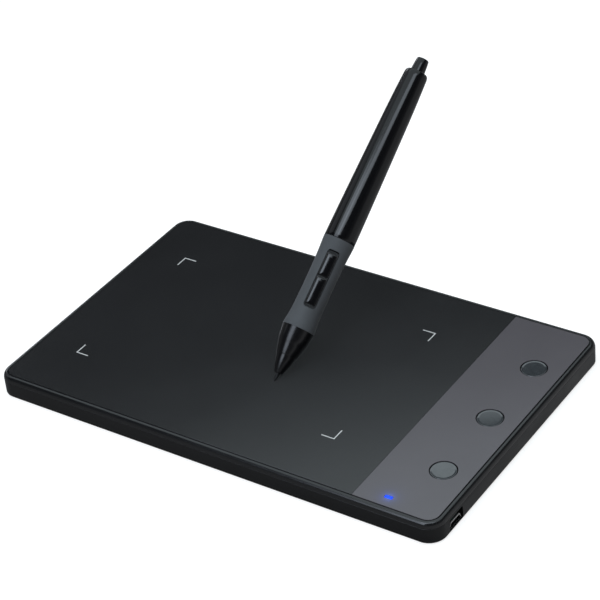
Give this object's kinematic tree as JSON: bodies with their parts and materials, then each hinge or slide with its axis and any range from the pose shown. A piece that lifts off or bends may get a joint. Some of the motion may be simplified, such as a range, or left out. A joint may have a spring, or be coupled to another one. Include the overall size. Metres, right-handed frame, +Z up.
{
  "type": "pen drawing tablet",
  "caption": "Small flat pen drawing tablet with a dark drawing sheet, a grey key strip with round push keys, and a cordless pen with side buttons and a pull-off barrel.",
  "frame": {"origin": "middle of the tablet's footprint, on the table surface", "axes": "+X along the tablet's long side towards the key strip, +Y to the back edge, +Z up out of the drawing sheet"},
  "size_m": [0.1736, 0.1329, 0.087],
  "materials": {
    "case_black": "satin moulded plastic",
    "sheet_dark": "fine matte texture",
    "strip_grey": "fine matte texture",
    "key_grey": "satin",
    "light_blue": "clear, lit blue",
    "rubber_black": "matte",
    "board_green": "solder mask",
    "chip_black": "moulded",
    "nib_black": "polished by use",
    "steel": "plated",
    "plastic_white": "moulded",
    "gloss_black": "piano gloss",
    "grip_grey": "soft touch",
    "copper": "enamelled wire",
    "cell_wrap": "printed sleeve, plain"
  },
  "bodies": {
    "tablet": {"bottom_case": "case_black", "top_case": "case_black", "drawing_sheet": "sheet_dark", "key_strip": "strip_grey", "key_switch_1": "steel", "key_switch_2": "steel", "key_switch_3": "steel", "main_board": "board_green", "controller_chip": "chip_black", "amplifier_chip": "chip_black", "crystal": "steel", "status_led": "plastic_white", "light_guide": "light_blue", "shield_plate": "steel", "usb_shell": "steel", "usb_core": "chip_black", "rubber_foot_1": "rubber_black", "rubber_foot_2": "rubber_black", "rubber_foot_3": "rubber_black", "rubber_foot_4": "rubber_black", "case_screw_1": "steel", "case_screw_2": "steel", "case_screw_3": "steel", "case_screw_4": "steel"},
    "key_1": {"key_cap_1": "key_grey", "key_plunger_1": "plastic_white"},
    "key_2": {"key_cap_2": "key_grey", "key_plunger_2": "plastic_white"},
    "key_3": {"key_cap_3": "key_grey", "key_plunger_3": "plastic_white"},
    "pen": {"pen_cone": "gloss_black", "pen_grip": "grip_grey", "pen_core": "chip_black", "pen_coil": "copper", "pressure_sensor": "steel", "pen_board": "board_green", "side_switch_lower": "steel", "side_switch_upper": "steel", "battery": "cell_wrap", "battery_contact": "steel"},
    "pen_nib": {"nib": "nib_black"},
    "lower_button": {"side_button_lower": "gloss_black"},
    "upper_button": {"side_button_upper": "gloss_black"},
    "barrel": {"pen_barrel": "gloss_black", "end_plug": "gloss_black", "battery_spring": "steel"}
  },
  "joints": [
    {"name": "key_1_press", "type": "slide", "parent": "tablet", "child": "key_1", "axis": [0, 0, -1], "range_m": [0, 0.00035], "stiffness_N_per_m": 800},
    {"name": "key_2_press", "type": "slide", "parent": "tablet", "child": "key_2", "axis": [0, 0, -1], "range_m": [0, 0.00035], "stiffness_N_per_m": 800},
    {"name": "key_3_press", "type": "slide", "parent": "tablet", "child": "key_3", "axis": [0, 0, -1], "range_m": [0, 0.00035], "stiffness_N_per_m": 800},
    {"name": "pen_lift", "type": "slide", "parent": "tablet", "child": "pen", "axis": [0, 0, 1], "range_m": [0, 0.03]},
    {"name": "nib_pressure", "type": "slide", "parent": "pen", "child": "pen_nib", "axis": [0.0669, 0.7642, 0.6414], "range_m": [0, 0.0008], "stiffness_N_per_m": 800},
    {"name": "lower_button_press", "type": "slide", "parent": "pen", "child": "lower_button", "axis": [-0.4957, 0.5834, -0.6434], "range_m": [0, 0.00035], "stiffness_N_per_m": 800},
    {"name": "upper_button_press", "type": "slide", "parent": "pen", "child": "upper_button", "axis": [-0.4957, 0.5834, -0.6434], "range_m": [0, 0.00035], "stiffness_N_per_m": 800},
    {"name": "barrel_pull", "type": "slide", "parent": "pen", "child": "barrel", "axis": [0.0669, 0.7642, 0.6414], "range_m": [0, 0.048]}
  ]
}
